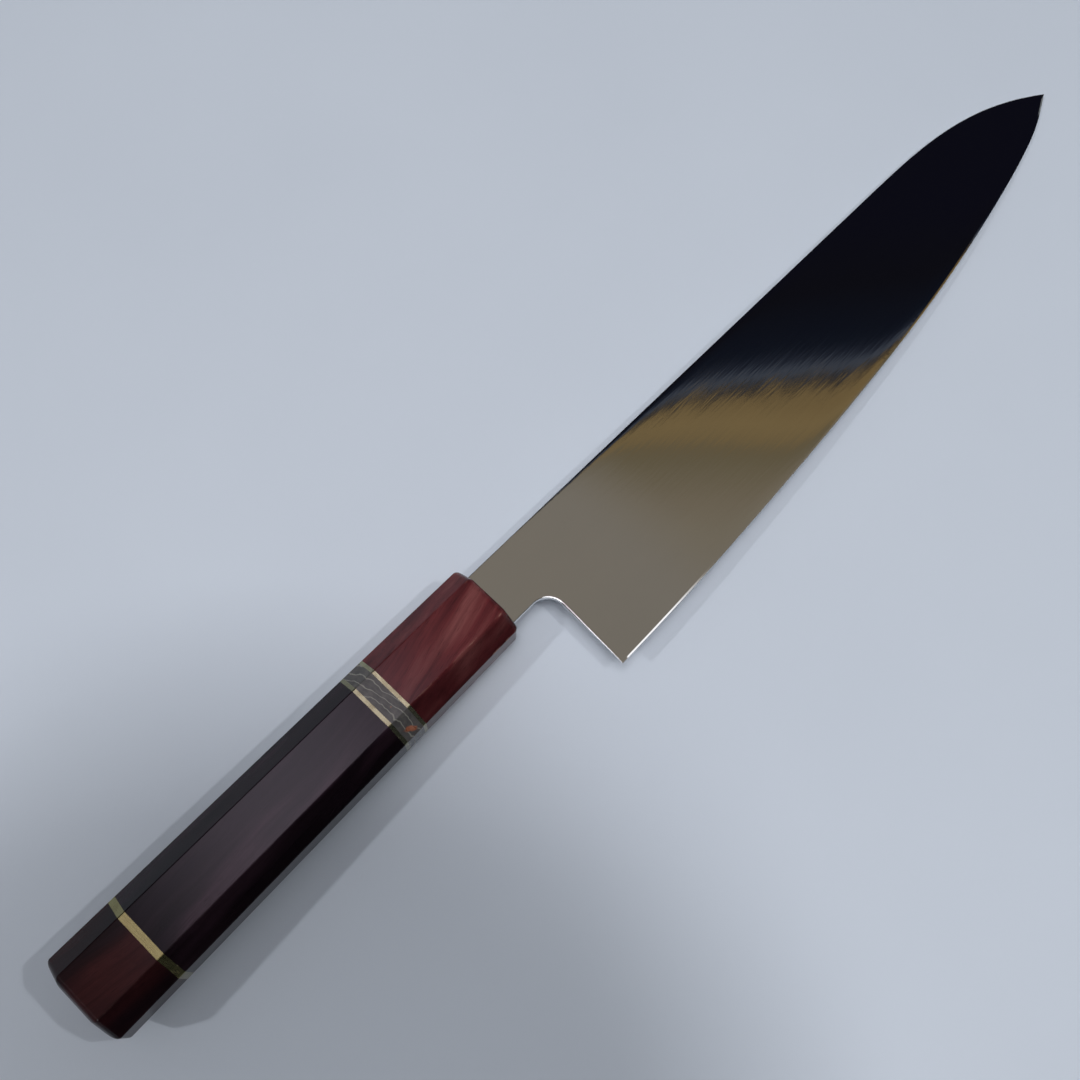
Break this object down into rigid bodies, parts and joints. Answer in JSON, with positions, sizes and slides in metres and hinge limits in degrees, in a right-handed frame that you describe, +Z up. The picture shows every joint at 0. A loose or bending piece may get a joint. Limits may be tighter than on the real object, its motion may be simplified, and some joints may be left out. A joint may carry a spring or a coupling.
{
  "type": "chef knife",
  "caption": "Chef's knife with a mirror-polished hidden-tang blade and an octagonal wood handle inlaid with brass and marbled rings.",
  "frame": {"origin": "centre of the bounding box on the table, with the knife lying on its left side on the blade's tip and the ferrule's lower front edge", "axes": "+X along the handle's axis towards the blade's tip, +Y towards the spine, +Z up from the table"},
  "size_m": [0.3596, 0.0486, 0.0264],
  "materials": {
    "polished_steel": "polished",
    "red_wood": "satin",
    "red_wood_end": "satin",
    "dark_wood": "satin",
    "brass": "satin",
    "marbled_resin": "satin",
    "plain_wood": "matte",
    "epoxy": "satin"
  },
  "bodies": {
    "root": {"blade": "polished_steel", "ferrule": "red_wood", "front_spacer": "brass", "marbled_ring": "marbled_resin", "middle_spacer": "brass", "handle_body": "dark_wood", "rear_spacer": "brass", "end_cap": "red_wood_end", "core_dowel": "plain_wood", "rear_dowel": "plain_wood", "tang_bedding": "epoxy"}
  },
  "joints": []
}
